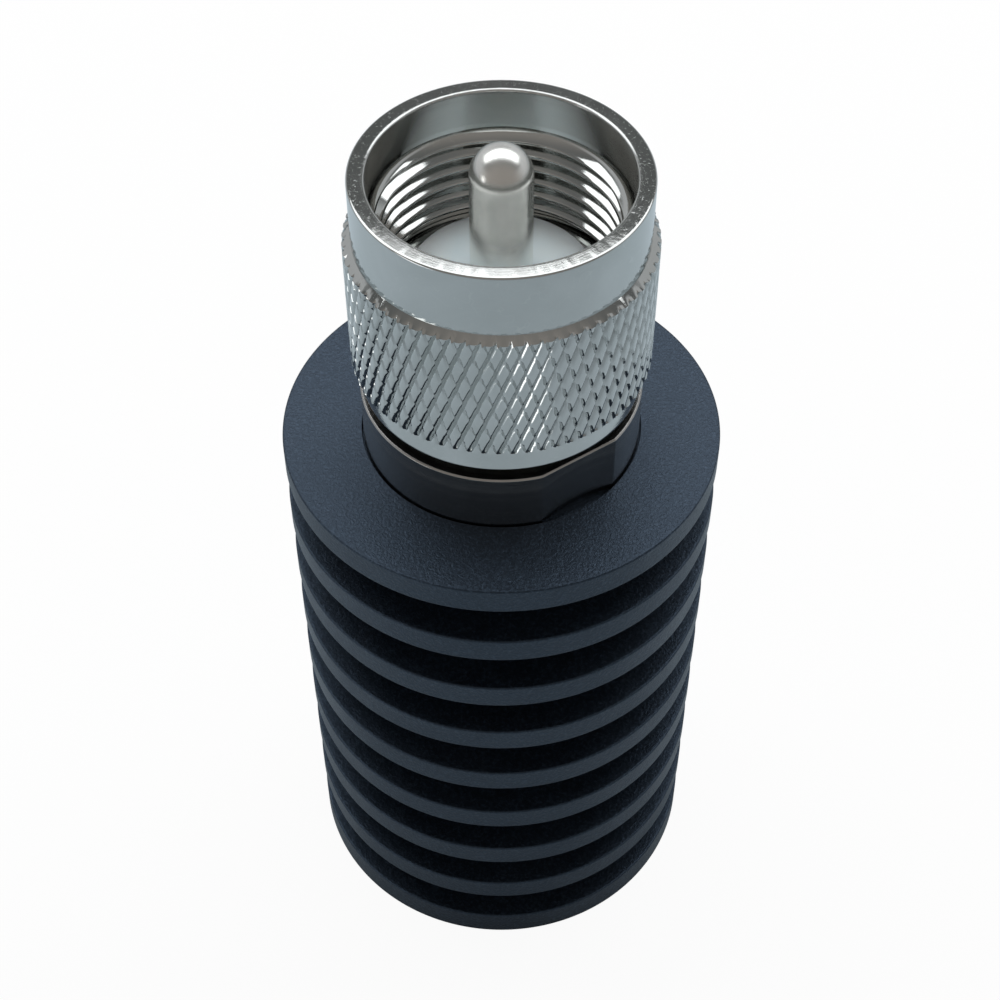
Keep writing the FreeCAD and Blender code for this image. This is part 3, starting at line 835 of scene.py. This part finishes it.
def background_share(tree, glossy_share):
    """1 for rays from the camera and through glass, and a part of that for reflections."""
    path = add(tree, "ShaderNodeLightPath").outputs
    straight = add(tree, "ShaderNodeMath", {0: path["Is Camera Ray"], 1: path["Is Transmission Ray"]},
                   operation="MAXIMUM").outputs[0]
    glossy = add(tree, "ShaderNodeMath", {0: path["Is Glossy Ray"], 1: glossy_share},
                 operation="MULTIPLY").outputs[0]
    return add(tree, "ShaderNodeMath", {0: straight, 1: glossy}, operation="MAXIMUM").outputs[0]


def floor_finish():
    """Pale floor that the camera sees as near white, with the soft shadow of the part still on it. The
    part mirrors it as a plain cool grey."""
    material = bpy.data.materials.new("floor_paper")
    material.use_nodes = True
    tree = material.node_tree
    tree.nodes.remove(tree.nodes["Principled BSDF"])
    seen = background_share(tree, 0.04)
    colour = blended(tree, seen, (0.48, 0.565, 0.62), (0.92, 0.92, 0.92))
    paper = add(tree, "ShaderNodeBsdfDiffuse", {"Color": colour})
    glow = add(tree, "ShaderNodeEmission", {"Color": (1, 1, 1, 1), "Strength": 1.0})
    share = add(tree, "ShaderNodeMath", {0: seen, 1: 0.94}, operation="MULTIPLY")
    both = add(tree, "ShaderNodeMixShader", {0: share.outputs[0], 1: paper.outputs[0], 2: glow.outputs[0]})
    tree.links.new(both.outputs[0], tree.nodes["Material Output"].inputs["Surface"])
    return material


floor_mesh.materials.append(floor_finish())


def soft_panel(name, place, tilt, sides, energy, colour):
    """Rectangular lamp that the camera doesn't see. It shines down until it is tilted about Y."""
    data = bpy.data.lights.new(name, "AREA")
    data.shape = "RECTANGLE"
    data.size, data.size_y = sides
    data.energy = energy
    data.color = colour
    lamp = bpy.data.objects.new(name, data)
    lamp.location = place
    lamp.rotation_euler = (0, tilt, 0)
    lamp.visible_camera = False
    bpy.context.scene.collection.objects.link(lamp)


panel_height = 0.36
panel_width = 0.8
panel_colour = (0.97, 0.985, 1.0)
for name, front, back, energy in (("wide_panel", 0.034, 0.324, 1.36), ("bright_panel", 0.12, 0.22, 0.70)):
    soft_panel(name, (0, (back + front) / 2, panel_height), 0, (panel_width, back - front), energy,
               panel_colour)

# The card leans away from the part, with its foot just above the floor.
card_foot, card_head, card_top = -0.095, -0.20, 0.10
card_place = ((card_foot + card_head) / 2, -0.083, card_top / 2 + 0.002)
card_run = card_foot - card_head
card_width = 0.045
soft_panel("left_card", card_place, math.pi + math.atan2(card_top, card_run),
           (math.hypot(card_top, card_run), card_width), 0.033, (1.0, 1.0, 1.0))

# What the metal mirrors of the room is dim above and toward the camera, with a pale wall behind the
# part. The camera sees it as near white.
world = bpy.data.worlds.new("room")
bpy.context.scene.world = world
world.use_nodes = True
room = world.node_tree
direction = add(room, "ShaderNodeSeparateXYZ", {0: add(room, "ShaderNodeTexCoord").outputs["Generated"]})
toward_wall = add(room, "ShaderNodeMapRange",
                  {"Value": direction.outputs["Y"], "From Min": -0.7, "From Max": 0.2},
                  interpolation_type="SMOOTHSTEP").outputs["Result"]
above_wall = add(room, "ShaderNodeMapRange",
                 {"Value": direction.outputs["Z"], "From Min": 0.44, "From Max": 0.53}).outputs["Result"]
wall_colour = blended(room, above_wall, (0.50, 0.51, 0.52), (0.13, 0.135, 0.135))
room_colour = blended(room, toward_wall, (0.28, 0.262, 0.245), wall_colour)
background = blended(room, background_share(room, 0.0), room_colour, (0.97, 0.97, 0.97))
room.links.new(background, room.nodes["Background"].inputs["Color"])

looking_down = math.radians(48.985)
camera_data = bpy.data.cameras.new("camera")
camera_data.sensor_width = 36
camera_data.lens = 66.18
camera_data.shift_x = -0.00136
camera_data.clip_start = 0.001
camera = bpy.data.objects.new("camera", camera_data)
camera.location = (0, -86.98 * mm, 136.31 * mm)
camera.rotation_euler = (math.pi / 2 - looking_down, 0, 0)
bpy.context.scene.collection.objects.link(camera)
bpy.context.scene.camera = camera
bpy.context.scene.view_settings.view_transform = "Standard"
